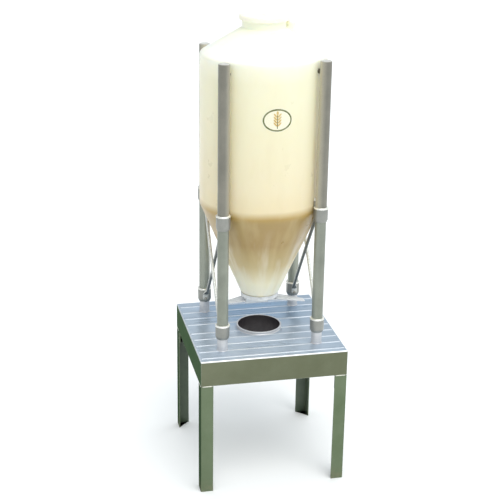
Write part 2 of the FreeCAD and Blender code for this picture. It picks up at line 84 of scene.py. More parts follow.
# --- shape constants that a box doesn't give ---
SHEET, TUBE_WALL = 1.0 * MM, 1.0 * MM
CONE_TOP, SHOULDER, NECK_BASE = TABLE + 147 * MM, TABLE + 308 * MM, TABLE + 334.2 * MM
OUTLET_RADIUS, OUTLET_LAND, NECK_RADIUS, WALL = 20.7 * MM, 2.0 * MM, 22.8 * MM, 1.8 * MM
CONE_FILLET, SHOULDER_FILLET, NECK_FILLET = 14 * MM, 4 * MM, 2 * MM
BOSS_X, BOSS_RADIUS, BOSS_TOP = 27.8 * MM, 5.4 * MM, TABLE + 340.6 * MM
COLLAR_BODY, SADDLE = 7.5 * MM, 1.0 * MM
ROD_RADIUS, ROD_OFFSET, ROD_BOW = 1.8 * MM, 1.4 * MM, 0.45 * MM
ROD_BELOW, ROD_ABOVE, SCREW_BEYOND, PLATE_HALF = 2.2 * MM, 3.0 * MM, 3.6 * MM, 3.2 * MM
PLATE_ABOVE, PLATE_BELOW, BEND_LENGTH = 5.7 * MM, 1.2 * MM, 9 * MM
LEG_FLANGE, TONGUE, WELD_GAP, WELD_INSET, WELD_LENGTH = 13.5 * MM, 15 * MM, 1 * MM, 0.6 * MM, 11.6 * MM
SPACER_HEIGHT, SPACER_LENGTH, PIN_HALF_WIDTH = TABLE + 297.0 * MM, 3.4 * MM, 1.7 * MM
# Support pins: (height in mm above the collar, share of the full width)
PIN_STEM = ((-0.05, 0.95), (0.5, 1.0), (0.9, 0.9), (1.3, 0.84), (3.2, 0.84), (5.2, 0.84), (5.8, 0.84))
PIN_KNOB = ((5.2, 0.5), (5.25, 0.88), (5.6, 0.97), (6.4, 1.0), (7.2, 0.95), (7.8, 0.78), (8.1, 0.5),
            (8.2, 0.25))

# --- camera, light and floor ---
CAMERA_AZIMUTH, CAMERA_ELEVATION, CAMERA_ROLL = (math.radians(a) for a in (-12.618, 20.516, 0.847))
CAMERA_TARGET, CAMERA_DISTANCE = Vector((-0.01133, 0.0, 0.2475)), 1.31609
CAMERA_LENS, CAMERA_SENSOR = 86.985, 36.0
SUN_AZIMUTH, SUN_ELEVATION, SUN_SPREAD = math.radians(8), math.radians(58), math.radians(45)
SUN_STRENGTH, SUN_COLOUR = 1.3, (1.0, 0.985, 0.955)
SKY_COLOUR = (0.91, 0.96, 1.0, 1)
# Axis of the sky direction, its lowest and highest value, and the strength at each
SKY_GRADIENTS = ((0, (-0.9, 0.7, 0.52, 0.95)), (2, (0.0, 1.0, 0.62, 1.8)))
FLOOR_HALF = 14.0


# --- mesh making ---
def angles(count):
    return [2 * math.pi * k / count for k in range(count)]


def squared(value, power):
    """A sine or cosine bent towards a rounded square's."""
    return math.copysign(abs(value) ** power, value)


def facing_along(direction):
    """Turns +Z to a direction."""
    return Vector(direction).to_track_quat("Z", "Y").to_matrix().to_4x4()


def bands(count, rings, start=0):
    """Faces that join each ring of points to the next."""
    found = []
    for i in range(rings - 1):
        a, b = start + i * count, start + (i + 1) * count
        found += [[a + k, b + k, b + (k + 1) % count, a + (k + 1) % count] for k in range(count)]
    return found


class Shell:
    """Collects closed surfaces for one piece; mark is the material index of the faces added."""

    def __init__(self):
        self.points, self.faces, self.marks = [], [], []

    def add(self, points, faces, marks, place=None):
        start = len(self.points)
        self.points += [place @ Vector(p) for p in points] if place else [Vector(p) for p in points]
        self.faces += [[start + i for i in face] for face in faces]
        self.marks += marks if isinstance(marks, list) else [marks] * len(faces)

    def lathe(self, profile, segments, place=None, marks=None, wobble=None):
        """Turns a profile of (radius, height) points about Z, closed unless both ends lie on the axis."""
        points, faces, kinds = [], [], []
        poles = profile[0][0] < 1e-9 and profile[-1][0] < 1e-9
        rings = []
        for i, (r, z) in enumerate(profile):
            if poles and i in (0, len(profile) - 1):
                rings.append([len(points)])
                points.append((0, 0, z))
                continue
            ring = []
            for a in angles(segments):
                reach = r + (wobble(r, a, z) if wobble else 0)
                ring.append(len(points))
                points.append((reach * math.cos(a), reach * math.sin(a), z))
            rings.append(ring)
        last = len(rings) - 1 if poles else len(rings)
        for i in range(last):
            here, there = rings[i], rings[(i + 1) % len(rings)]
            kind = marks(*profile[i], *profile[(i + 1) % len(rings)]) if marks else 0
            for k in range(segments):
                n = (k + 1) % segments
                if len(here) == 1:
                    faces.append([here[0], there[k], there[n]])
                elif len(there) == 1:
                    faces.append([here[k], there[0], here[n]])
                else:
                    faces.append([here[k], there[k], there[n], here[n]])
                kinds.append(kind)
        self.add(points, faces, kinds, place)

    def loft(self, rings, mark=0, place=None):
        """Joins rings of points in order and closes both ends with a fan."""
        count = len(rings[0])
        points = [p for ring in rings for p in ring]
        faces = bands(count, len(rings))
        for ring, base in ((rings[0], 0), (rings[-1], (len(rings) - 1) * count)):
            hub = len(points)
            points.append(sum((Vector(p) for p in ring), Vector()) / count)
            faces += [[base + k, base + (k + 1) % count, hub] for k in range(count)]
        self.add(points, faces, mark, place)

    def prism(self, outline, bottom, top, edge):
        """Plate or bar with a plan outline and a small round on its top and bottom edges."""
        count = len(outline)
        rings = []
        for z, inset in ((bottom, edge), (bottom + edge * 0.3, edge * 0.3), (bottom + edge, 0),
                         (top - edge, 0), (top - edge * 0.3, edge * 0.3), (top, edge)):
            ring = []
            for i, p in enumerate(outline):
                before = (Vector(p) - Vector(outline[i - 1])).normalized()
                after = (Vector(outline[(i + 1) % count]) - Vector(p)).normalized()
                side = Vector((-before.y - after.y, before.x + after.x))
                side = side.normalized() / max(0.4, side.length / 2)
                ring.append((p[0] + side.x * inset, p[1] + side.y * inset, z))
            rings.append(ring)
        caps = [list(range(count))[::-1], [5 * count + k for k in range(count)]]
        self.add([p for ring in rings for p in ring], caps + bands(count, len(rings)), 0)


def rounded(corners, closed=False, step=12):
    """Points through (x, y, radius) corners, each rounded by its radius, one point every few degrees."""
    found = []
    count = len(corners)
    for i, (x, y, radius) in enumerate(corners):
        here = Vector((x, y))
        if radius <= 0 or (not closed and i in (0, count - 1)):
            found.append((x, y))
            continue
        before = (Vector(corners[i - 1][:2]) - here).normalized()
        after = (Vector(corners[(i + 1) % count][:2]) - here).normalized()
        turn = math.pi - before.angle(after)
        inward = (before + after).normalized()
        hub = here + inward * (radius / math.cos(turn / 2))
        steps = max(2, math.ceil(math.degrees(turn) / step))
        start = here + before * radius * math.tan(turn / 2) - hub
        side = 1 if before.x * after.y - before.y * after.x < 0 else -1
        for k in range(steps + 1):
            a = side * turn * k / steps
            c, s = math.cos(a), math.sin(a)
            found.append((hub.x + start.x * c - start.y * s, hub.y + start.x * s + start.y * c))
    return found


def divided(profile, longest):
    """The same open profile with long straight runs cut into shorter ones."""
    found = [profile[0]]
    for (x0, y0), (x1, y1) in zip(profile, profile[1:]):
        parts = max(1, math.ceil(math.hypot(x1 - x0, y1 - y0) / longest))
        found += [(x0 + (x1 - x0) * k / parts, y0 + (y1 - y0) * k / parts) for k in range(1, parts + 1)]
    return found


def placed(name, data):
    obj = bpy.data.objects.new(name, data)
    bpy.context.scene.collection.objects.link(obj)
    return obj


def settled(obj, body, nodes):
    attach(obj, body)
    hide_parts(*nodes)
    return obj


def piece(name, shell, looks, body="stand", replaces=None, sharp=35):
    """A new piece from a shell, in place of the CAD node of its name or of the nodes given."""
    mesh = bpy.data.meshes.new(name)
    mesh.from_pydata(shell.points, [], shell.faces)
    for look in looks:
        mesh.materials.append(look)
    mesh.polygons.foreach_set("material_index", shell.marks)
    made = bmesh.new()
    made.from_mesh(mesh)
    bmesh.ops.recalc_face_normals(made, faces=made.faces)
    made.to_mesh(mesh)
    made.free()
    mesh.shade_smooth()
    mesh.set_sharp_from_angle(angle=math.radians(sharp))
    return settled(placed(name, mesh), body, replaces or [name])


def softened(node, name, look, edge, body="stand"):
    """A new piece with a CAD node's shape, its edges slightly rounded."""
    mesh = frame["nodes"][node].data.copy()
    mesh.name = name
    mesh.materials.clear()
    mesh.materials.append(look)
    made = bmesh.new()
    made.from_mesh(mesh)
    bmesh.ops.remove_doubles(made, verts=made.verts, dist=1e-6)
    bmesh.ops.dissolve_limit(made, angle_limit=math.radians(0.5), verts=made.verts, edges=made.edges)
    bmesh.ops.recalc_face_normals(made, faces=made.faces)
    turned = [e for e in made.edges if len(e.link_faces) == 2 and e.calc_face_angle(0) > math.radians(30)]
    bmesh.ops.bevel(made, geom=turned, offset=edge, offset_type="OFFSET", segments=2, profile=0.5,
                    affect="EDGES", clamp_overlap=True)
    bmesh.ops.triangulate(made, faces=[f for f in made.faces if len(f.verts) > 4])
    for face in made.faces:
        face.material_index = 0
    made.to_mesh(mesh)
    made.free()
    if "custom_normal" in mesh.attributes:
        mesh.attributes.remove(mesh.attributes["custom_normal"])
    mesh.shade_smooth()
    mesh.set_sharp_from_angle(angle=math.radians(50))
    settled(placed(name, mesh), body, [node])


# --- procedural materials ---
def rgb(r, g, b):
    shares = (c / 255 for c in (r, g, b))
    return tuple(c / 12.92 if c < 0.04045 else ((c + 0.055) / 1.055) ** 2.4 for c in shares) + (1,)


class Look:
    """Builds one node material, or the world, in object coordinates, in metres."""

    def __init__(self, name, kind=bpy.data.materials):
        self.material = kind.new(name)
        self.material.use_nodes = True
        self.tree = self.material.node_tree
        self.tree.nodes.clear()
        self.place = self.node("TexCoord").outputs["Object"]
        axes = self.node("SeparateXYZ", {0: self.place}).outputs
        self.x, self.y, self.z = axes[0], axes[1], axes[2]

    def node(self, kind, inputs=None, **settings):
        made = self.tree.nodes.new("ShaderNode" + kind)
        for key, value in settings.items():
            setattr(made, key, value)
        for key, value in (inputs or {}).items():
            if isinstance(value, bpy.types.NodeSocket):
                self.tree.links.new(value, made.inputs[key])
            else:
                made.inputs[key].default_value = value
        return made

    def noise(self, scale, detail=3.0, rough=0.5, stretch=(1, 1, 1), place=None):
        at = self.vectors("MULTIPLY", place or self.place, stretch)
        return self.node("TexNoise", {"Vector": at, "Scale": scale, "Detail": detail,
                                      "Roughness": rough}).outputs[0]

    def cells(self, scale):
        return self.node("TexVoronoi", {"Vector": self.place, "Scale": scale}).outputs[0]

    def facing(self):
        """The surface's direction, as its x, y and z."""
        return self.node("SeparateXYZ", {0: self.node("TexCoord").outputs["Normal"]}).outputs

    def fit(self, value, low, high, a=0.0, b=1.0):
        return self.node("MapRange", {"Value": value, "From Min": low, "From Max": high,
                                      "To Min": a, "To Max": b}).outputs[0]

    def patch(self, settings, *span):
        """Noise with the given scale, detail, roughness and stretch, fitted to a span."""
        return self.fit(self.noise(*settings), *span)

    def mix(self, share, a, b):
        return self.node("Mix", {0: share, 6: a, 7: b}, data_type="RGBA").outputs[2]

    def maths(self, operation, a, b=0.0):
        return self.node("Math", {0: a, 1: b}, operation=operation).outputs[0]

    def times(self, a, b):
        return self.maths("MULTIPLY", a, b)

    def plus(self, a, b):
        return self.maths("ADD", a, b)

    def vectors(self, operation, a, b=(0, 0, 0), output=0):
        return self.node("VectorMath", {0: a, 1: b}, operation=operation).outputs[output]

    def ramp(self, value, stops):
        made = self.node("ValToRGB", {0: value})
        for i, (at, colour) in enumerate(stops):
            stop = made.color_ramp.elements[i] if i < 2 else made.color_ramp.elements.new(at)
            stop.position, stop.color = at, colour
        return made.outputs[0]

    def edges(self, radius):
        """1 on sharp outer edges, 0 on flat faces."""
        soft = self.node("Bevel", {"Radius": radius}, samples=4).outputs[0]
        plain = self.node("NewGeometry").outputs["Normal"]
        return self.fit(self.vectors("DOT_PRODUCT", soft, plain, "Value"), 0.995, 0.90)

    def surface(self, colour, rough, metal=0.0, relief=None, depth=0.0, **more):
        inputs = {"Base Color": colour, "Roughness": rough, "Metallic": metal}
        inputs.update({key.replace("_", " "): value for key, value in more.items()})
        if relief is not None:
            inputs["Normal"] = self.node("Bump", {"Height": relief, "Distance": depth}).outputs[0]
        made = self.node("BsdfPrincipled", inputs)
        self.node("OutputMaterial", {"Surface": made.outputs[0]})
        return self.material


def vessel_look():
    """Translucent moulding, from the pale outlet over a tan cone to a cream barrel and a pale roof; its
    colours by height are partly the moulding's tone and partly painted light and shade, with streaky painted
    reflections low on the cone.
    """
    look = Look("vessel_plastic")
    drift = look.times(look.patch((14, 3), 0.3, 0.7, -1, 1), 0.0016)
    share = look.fit(look.plus(look.z, drift), VESSEL_BOTTOM, VESSEL_TOP)
    span = VESSEL_TOP - VESSEL_BOTTOM
    # A height, the millimetres above it, and the colour there. Partly painted light: a painted contact shadow
    # at the outlet's edge, painted light from below near the outlet, painted shade on the cone, darkest with
    # a golden line at its top, and painted light making the roof and neck whiter.
    stops = ((VESSEL_BOTTOM, -0.5, 150, 138, 96),
             (VESSEL_TOP, 0, 255, 254, 236),
             (VESSEL_BOTTOM, 1.4, 250, 245, 224),
             (VESSEL_BOTTOM, 18, 244, 236, 207),
             (VESSEL_BOTTOM, 42, 199, 180, 132),
             (CONE_TOP, -34, 166, 138, 84),
             (CONE_TOP, -6, 167, 141, 87),
             (CONE_TOP, 0.5, 178, 149, 84),
             (CONE_TOP, 8.5, 228, 212, 174),
             (CONE_TOP, 30, 232, 219, 185),
             (SHOULDER, -60, 237, 229, 196),
             (SHOULDER, -20, 240, 234, 203),
             (SHOULDER, -5, 247, 243, 218),
             (SHOULDER, 4, 254, 253, 240),
             (NECK_BASE, 1, 255, 255, 226))
    colour = look.ramp(share, [((z + above * MM - VESSEL_BOTTOM) / span, rgb(*tint))
                               for z, above, *tint in stops])
    around = look.vectors("NORMALIZE", look.vectors("MULTIPLY", look.place, (1, 1, 0)))
    upward = look.vectors("MULTIPLY", look.place, (0, 0, 5))
    # Painted reflection: light upright stripes low on the cone.
    painted_reflection_streaks = look.noise(3.2, 3, 0.5, place=look.vectors("ADD", around, upward))
    low = look.times(look.fit(look.z, CONE_TOP - 10 * MM, CONE_TOP - 60 * MM), 0.55)
    colour = look.mix(look.times(look.fit(painted_reflection_streaks, 0.48, 0.72), low), colour, rgb(240, 236, 220))
    # Painted shade: the dark side of the same noise darkens the barrel, more towards the cone.
    painted_streak_shade = look.times(look.fit(painted_reflection_streaks, 0.5, 0.28), look.fit(look.z, SHOULDER, CONE_TOP, 0.05, 0.3))
    colour = look.mix(painted_streak_shade, colour, rgb(214, 198, 152))
    blotch = look.times(look.patch((45, 5, 0.6), 0.45, 0.75), 0.07)
    colour = look.mix(blotch, colour, rgb(226, 208, 160))
    rough = look.patch((60, 4), 0.3, 0.7, 0.27, 0.40)
    relief = look.plus(look.times(look.noise(900, 2), 0.08),
                        look.times(look.noise(45, 2), 0.5))
    return look.surface(colour, rough, 0.0, relief, 0.2 * MM, Subsurface_Weight=0.25,
                        Subsurface_Radius=(1.0, 0.7, 0.35), Subsurface_Scale=4 * MM,
                        Coat_Weight=0.1, Coat_Roughness=0.25, Specular_IOR_Level=0.5)


def lid_look():
    """The same plastic, paler, with faint moulding marks."""
    look = Look("lid_plastic")
    cloud = look.patch((30, 4), 0.35, 0.7)
    colour = look.mix(cloud, rgb(253, 250, 236), rgb(248, 243, 222))
    marks = look.patch((260, 3, 0.6, (1, 0.2, 1)), 0.62, 0.72, 0, 0.3)
    colour = look.mix(marks, colour, rgb(232, 226, 202))
    rough = look.patch((80, 4), 0.3, 0.7, 0.28, 0.45)
    return look.surface(colour, rough, 0.0, look.noise(800, 2), 0.06 * MM, Subsurface_Weight=0.25,
                        Subsurface_Radius=(1.0, 0.7, 0.35), Subsurface_Scale=4 * MM)


def sheet_look():
    """Rolled sheet: bluish bright top and olive upright sides, the two tones partly painted reflection of sky
    and green surroundings; rib crests worn bright and partly painted highlight, painted shadow and shade on
    the top, painted shade on the sides facing left and right, a painted highlight on the front fold, bright
    wear on the edges.
    """
    look = Look("galvanised_sheet")
    facing = look.facing()
    up, aslant = facing[2], look.maths("ABSOLUTE", facing[0])
    # Top and side tones by facing: partly painted reflection of sky above and green surroundings.
    top = look.fit(up, 0.25, 0.8)
    brushed = look.noise(420, 4, 0.6, (0.02, 1, 1))
    cloud = look.noise(15, 4, 0.55)
    flat = look.mix(look.fit(cloud, 0.3, 0.7), TOP_DARK, TOP_LIGHT)
    # Painted shadow of the vessel: the top darkens towards the middle of its rear half.
    off_middle = look.maths("ABSOLUTE", look.maths("SUBTRACT", look.x, 12 * MM))
    shadow_spread = look.fit(off_middle, 72 * MM, 34 * MM, 0.25, 1)
    flat = look.mix(look.times(shadow_spread, look.fit(look.y, -12 * MM, 40 * MM, 0, 1)), flat, TOP_PAINTED_SHADOW)
    # Painted shade: the top darkens towards its right side.
    flat = look.mix(look.fit(look.x, 10 * MM, STAND_HALF, 0, 0.75), flat, rgb(138, 158, 176))
    flat = look.mix(look.times(look.fit(brushed, 0.35, 0.75), 0.22), flat, rgb(226, 232, 240))
    flat = look.mix(look.times(look.cells(210), 0.10), flat, rgb(150, 164, 184))
    # Rib crests lighter: partly wear, partly painted highlight.
    rise = look.fit(look.z, TABLE + 0.05 * MM, TABLE + 0.35 * MM)
    rubbed_and_highlit = look.times(rise, look.patch((90, 3), 0.3, 0.6, 0.55, 1))
    flat = look.mix(look.times(rubbed_and_highlit, 0.72), flat, rgb(240, 243, 248))
    # Painted shade on the rear-facing slopes of the ribs, stronger towards the back.
    lee = look.times(look.fit(facing[1], 0.12, 0.4), look.fit(look.y, -STAND_HALF, STAND_HALF, 0.4, 0.8))
    flat = look.mix(lee, flat, rgb(112, 130, 152))
    side = look.mix(look.patch((24, 5, 0.6), 0.3, 0.7), SIDE_DARK, SIDE_LIGHT)
    grain = look.patch((1500, 2, 0.5), 0.4, 0.7, 0, 0.2)
    side = look.mix(grain, side, SIDE_SPECK)
    # Painted shade: aprons facing left or right turn a darker green.
    flank_shade = look.mix(look.fit(cloud, 0.3, 0.7), FLANK_SHADE, rgb(84, 102, 78))
    side = look.mix(look.fit(aslant, 0.5, 0.9), side, flank_shade)
    colour = look.mix(top, side, flat)
    # Painted highlight along the rounded front top fold.
    bend_highlight = look.times(look.fit(up, 0.08, 0.3), look.fit(up, 0.985, 0.9))
    bend_highlight = look.times(bend_highlight, look.fit(look.z, TABLE + 0.1 * MM, TABLE - 0.02 * MM))
    bend_highlight = look.times(bend_highlight, look.fit(aslant, 0.6, 0.2, 0.35, 1))
    colour = look.mix(look.times(bend_highlight, look.patch((70, 3), 0.3, 0.55, 0.6, 1)), colour,
                      rgb(248, 248, 248))
    worn = look.times(look.edges(0.9 * MM), look.patch((160, 4, 0.6), 0.3, 0.55, 0.35, 1))
    worn = look.times(worn, look.fit(up, 0.05, 0.3, 0.3, 1))
    colour = look.mix(worn, colour, rgb(240, 242, 242))
    rough = look.plus(look.fit(brushed, 0.3, 0.8, 0.26, 0.34), look.fit(cloud, 0.3, 0.7, -0.03, 0.04))
    rough = look.plus(rough, look.fit(up, 0.8, 0.25, 0, 0.14))
    metal = look.maths("MAXIMUM", look.fit(up, 0.25, 0.8, 0.0, 0.5), look.times(worn, 0.8))
    relief = look.plus(look.times(brushed, 0.25), look.times(look.noise(40, 2), 0.5))
    return look.surface(colour, rough, metal, relief, 0.05 * MM,
                        Specular_IOR_Level=look.fit(up, 0.25, 0.8, 0.0, 0.5))


def paint_look(name, dark, light, speck, rough=(0.34, 0.5), metal=0.1, worn=0.5, foot=None, vessel_reflection=None,
               flank_shade=None, gloss=0.5):
    """Satin paint or plating with fine grain, clouding, dust and bright wear on its edges; optionally painted
    shade on faces turned left and right, and a painted reflection lightening the side facing the vessel.
    """
    look = Look(name)
    cloud = look.noise(38, 5, 0.6)
    colour = look.mix(look.fit(cloud, 0.32, 0.7), dark, light)
    # Painted shade: faces turned left or right take a darker colour.
    if flank_shade:
        colour = look.mix(look.fit(look.maths("ABSOLUTE", look.facing()[0]), 0.5, 0.9), colour, flank_shade)
    # Painted reflection: the side facing the silo's axis is lighter, as if lit by the vessel.
    if vessel_reflection:
        inward = look.vectors("NORMALIZE", look.vectors("MULTIPLY", look.place, (-1, -1, 0)))
        facing = look.vectors("DOT_PRODUCT", look.node("TexCoord").outputs["Normal"], inward, "Value")
        colour = look.mix(look.fit(facing, -0.75, 0.45), colour, vessel_reflection)
    grain = look.patch((1700, 2, 0.6), 0.5, 0.72, 0, 0.3)
    colour = look.mix(grain, colour, speck)
    drips = look.patch((240, 4, 0.6, (1, 1, 0.06)), 0.55, 0.8, 0, 0.22)
    colour = look.mix(drips, colour, light)
    if foot:
        low = look.times(look.fit(look.z, 16 * MM, 0.0), look.patch((220, 4, 0.65), 0.35, 0.6))
        colour = look.mix(look.times(low, 0.5), colour, foot)
    edge = look.times(look.edges(0.45 * MM), look.patch((300, 4, 0.6), 0.35, 0.6, 0, worn))
    colour = look.mix(edge, colour, rgb(205, 206, 200))
    finish = look.patch((120, 4, 0.6), 0.3, 0.7, *rough)
    relief = look.plus(look.times(look.noise(1700, 2, 0.6), 0.3),
                        look.times(look.noise(150, 3), 0.5))
    return look.surface(colour, finish, look.plus(edge, metal), relief, 0.05 * MM, Specular_IOR_Level=gloss)


def turned_look(name, dark, light, pitch=2600, rough_low=0.2, rough_high=0.34, metal=0.85):
    """Bright metal with fine turning rings and handling marks."""
    look = Look(name)
    rings = look.noise(pitch, 3, 0.6, (0.02, 0.02, 1))
    colour = look.mix(look.fit(rings, 0.3, 0.7), dark, light)
    smudge = look.patch((130, 5, 0.6), 0.5, 0.8, 0, 0.25)
    colour = look.mix(smudge, colour, dark)
    rough = look.plus(look.fit(rings, 0.3, 0.7, rough_low, rough_high),
                       look.times(smudge, 0.3))
    return look.surface(colour, rough, metal, rings, 0.002 * MM)


def drawn_look(name, dark, light, stretch, rough_low=0.24, rough_high=0.4, metal=0.8, shade=None):
    """Zinc-bright metal with drawing lines and a light spangle; shade paints shade on its downward-facing
    side.
    """
    look = Look(name)
    lines = look.noise(900, 4, 0.6, stretch)
    colour = look.mix(look.fit(lines, 0.3, 0.7), dark, light)
    colour = look.mix(look.times(look.cells(520), 0.2), colour, dark)
    stain = look.patch((90, 5, 0.65), 0.58, 0.8, 0, 0.35)
    colour = look.mix(stain, colour, rgb(130, 130, 120))
    if shade:
        # Painted shade: downward-facing faces take the darker colour.
        underside_shade, low, high = shade
        colour = look.mix(look.fit(look.facing()[2], high, low), colour, underside_shade)
    rough = look.plus(look.fit(lines, 0.3, 0.7, rough_low, rough_high),
                       look.times(stain, 0.3))
    return look.surface(colour, rough, metal, lines, 0.03 * MM)


def plastic_look(name, low, high, rough=0.4, sheen=0.0):
    """Moulded plastic or rubber with slight clouding."""
    look = Look(name)
    colour = look.mix(look.patch((220, 4), 0.35, 0.7), low, high)
    return look.surface(colour, look.patch((400, 3), 0.3, 0.7, rough, rough + 0.12), 0.0,
                        look.noise(1500, 3), 0.05 * MM, Sheen_Weight=sheen)


def ink_look(name, colour, second):
    """Printed film: flat ink with a fine dither, slight fading and a satin coat."""
    look = Look(name)
    dots = look.fit(look.cells(900), 0.25, 0.6)
    shade = look.mix(look.times(dots, 0.45), colour, second)
    fade = look.patch((150, 4), 0.4, 0.75, 0, 0.3)
    shade = look.mix(fade, shade, rgb(236, 230, 205))
    return look.surface(shade, look.patch((300, 3), 0.3, 0.7, 0.3, 0.42), 0.0,
                        look.noise(1200, 2), 0.02 * MM)


# Top tones bluish and side tones olive, partly painted reflection; the third top colour is a painted shadow
# of the vessel.
TOP_DARK, TOP_LIGHT, TOP_PAINTED_SHADOW = rgb(172, 187, 201), rgb(188, 200, 212), rgb(118, 152, 184)
SIDE_DARK, SIDE_LIGHT, SIDE_SPECK = rgb(104, 108, 86), rgb(116, 120, 98), rgb(92, 99, 76)
# Darker green for aprons facing left or right: painted shade.
FLANK_SHADE = rgb(70, 92, 66)

VESSEL = vessel_look()
LID = lid_look()
SHEET_METAL = sheet_look()
# The legs' faces turned left or right get a darker green: painted shade.
LEG_PAINT = paint_look("angle_steel", rgb(100, 114, 88), rgb(112, 124, 100), rgb(86, 100, 76), metal=0.0,
                       foot=rgb(140, 134, 110), flank_shade=rgb(60, 78, 56), gloss=0.0)
# Darker copy of the leg paint for the inner faces under the table: painted shade.
LEG_INSIDE_SHADE = paint_look("angle_steel_inside_shade", rgb(70, 84, 68), rgb(86, 98, 80), rgb(56, 68, 54), metal=0.0,
                        worn=0.3)
WELD = drawn_look("weld_bead", rgb(206, 206, 192), rgb(246, 244, 232), (1, 1, 1))
BRIGHT = turned_look("bright_metal", rgb(200, 200, 202), rgb(214, 214, 215), 1100, 0.3, 0.36, 0.35)
# Near-black bore of the drop ring: painted shade.
RING_BORE_SHADE = paint_look("ring_bore_shade", rgb(46, 41, 44), rgb(60, 54, 55), rgb(38, 34, 36), worn=0.2)
# Posts: the lighter side towards the vessel is painted reflection, and the lower posts' greener tone is
# painted green reflection.
POST_UPPER = paint_look("post_grey", rgb(118, 116, 106), rgb(134, 131, 120), rgb(102, 102, 94),
                        (0.3, 0.42), 0.3, vessel_reflection=rgb(196, 190, 170))
POST_LOWER = paint_look("post_grey_lower", rgb(126, 130, 119), rgb(144, 148, 136), rgb(110, 114, 104),
                        (0.28, 0.4), 0.45, vessel_reflection=rgb(158, 162, 150))
COLLAR_GREY = paint_look("collar_grey", rgb(136, 137, 131), rgb(155, 155, 149), rgb(120, 121, 116),
                         (0.28, 0.4), 0.45, 0.8)
# Bright rim: partly bright metal, partly a painted highlight of its lit top.
COLLAR_RIM = turned_look("collar_rim", rgb(220, 219, 210), rgb(250, 249, 242), 1500, metal=0.5)
# The braces' darker downward-facing side is painted shade.
ROD = drawn_look("brace_rod", rgb(206, 208, 202), rgb(244, 244, 238), (1, 1, 0.06), metal=0.3,
                 shade=(rgb(98, 102, 100), -0.55, 0.25))
SCREW = drawn_look("screw_steel", rgb(132, 131, 124), rgb(182, 180, 170), (1, 1, 1))
PLUG = plastic_look("plug_white", rgb(186, 185, 180), rgb(204, 203, 197))
KNOB = plastic_look("knob_white", rgb(228, 227, 218), rgb(248, 247, 240))
RUBBER = plastic_look("spacer_rubber", rgb(66, 62, 48), rgb(92, 87, 68), 0.62, 0.2)
GATE = drawn_look("gate_metal", rgb(206, 208, 210), rgb(244, 245, 246), (0.05, 1, 1), 0.26, 0.4, 0.2)
PLATE = drawn_look("plate_metal", rgb(206, 208, 209), rgb(236, 238, 239), (0.05, 1, 1), 0.28, 0.42, 0.3)


# --- stand ---
softened("table_top", "stand_sheet", SHEET_METAL, 0.12 * MM)


def leg(name, side_x, side_y):
    """Angle section flush with the apron, with a tongue behind it; its inner faces get a darker paint as
    painted shade.
    """
    joint = APRON_BOTTOM - WELD_GAP
    shell = Shell()
    for outer, radius, bottom, top in ((STAND_HALF, 0.9 * MM, 0.0, joint),
                                       (STAND_HALF - SHEET, 0.1 * MM, joint - TONGUE, TABLE - SHEET)):
        inner, start = outer - SHEET, STAND_HALF - LEG_FLANGE
        corners = [(outer, start, 0.15 * MM), (outer, outer, radius), (start, outer, 0.15 * MM),
                   (start, inner, 0.15 * MM), (inner, inner, 0.6 * MM), (inner, start, 0.15 * MM)]
        outline = [(x * side_x, y * side_y) for x, y in rounded(corners, closed=True, step=15)]
        if side_x * side_y < 0:
            outline.reverse()
        shell.prism(outline, bottom, top, 0.15 * MM)
    made = piece(name, shell, [LEG_PAINT, LEG_INSIDE_SHADE], sharp=40)
    # Inner faces take the darker copy: painted shade.
    for face in made.data.polygons:
        to_middle = face.normal.x * side_x + face.normal.y * side_y
        if to_middle < -0.5 and abs(face.normal.z) < 0.3 and face.area > 1e-4:
            face.material_index = 1


for corner, (side_x, side_y) in CORNERS.items():
    leg("leg_" + corner, side_x, side_y)


def bead(start, end, radius, out):
    """Weld bead: a rippled, slightly proud run between two points."""
    start, end = Vector(start), Vector(end)
    along, length = (end - start).normalized(), (end - start).length
    rings, count = [], int(length / (0.3 * MM))
    for i in range(count + 1):
        t = i / count
        taper = min(1.0, 6 * t + 0.35, 6 * (1 - t) + 0.35)
        chance = noise.noise(Vector((i * 0.21, start.x * 90, 0)))
        ripple = 1 + 0.10 * math.sin(i * 2 * math.pi / 4) + 0.10 * chance
        size = radius * taper * ripple
        hub = start + along * length * t
        rings.append([hub + size * (math.cos(a) * out - math.sin(a) * Vector((0, 0, 1)))
                      for a in angles(14)])
    return rings


def leg_welds():
    shell = Shell()
    free = STAND_HALF - LEG_FLANGE + WELD_INSET
    last = free + WELD_LENGTH
    at, height, size = STAND_HALF - 0.45 * MM, APRON_BOTTOM - WELD_GAP / 2, 0.62 * MM
    for side_x, side_y in CORNERS.values():
        across, along = Vector((0, side_y, 0)), Vector((side_x, 0, 0))
        for near, far, out in (((free, at), (last, at), across), ((at, free), (at, last), along)):
            shell.loft(bead((near[0] * side_x, near[1] * side_y, height),
                            (far[0] * side_x, far[1] * side_y, height), size, out))
    piece("leg_welds", shell, [WELD])


leg_welds()


def drop_ring():
    bore = RING_RADIUS - 1.8 * MM
    wall = bore + SHEET
    profile = rounded([
        (bore, RING_BOTTOM, 0.25 * MM), (wall, RING_BOTTOM, 0.25 * MM), (wall, TABLE, 0.0),
        (RING_RADIUS, TABLE, 0.0), (RING_RADIUS - 0.3 * MM, TABLE + 0.6 * MM, 0.15 * MM),
        (wall, TABLE + 1.3 * MM, 0.4 * MM), (wall, TABLE + 2.2 * MM, 0.3 * MM),
        (RING_RADIUS, TABLE + 2.2 * MM, 0.6 * MM), (RING_RADIUS, RING_TOP, 0.65 * MM),
        (bore, RING_TOP, 0.65 * MM)], closed=True)
    shell = Shell()
    # The bore's faces take the near-black colour: painted shade.
    inside = bore + 0.1 * MM
    shell.lathe(profile, 160, marks=lambda r0, z0, r1, z1: 1 if max(r0, r1) < inside else 0)
    piece("drop_ring", shell, [BRIGHT, RING_BORE_SHADE], sharp=40)


drop_ring()


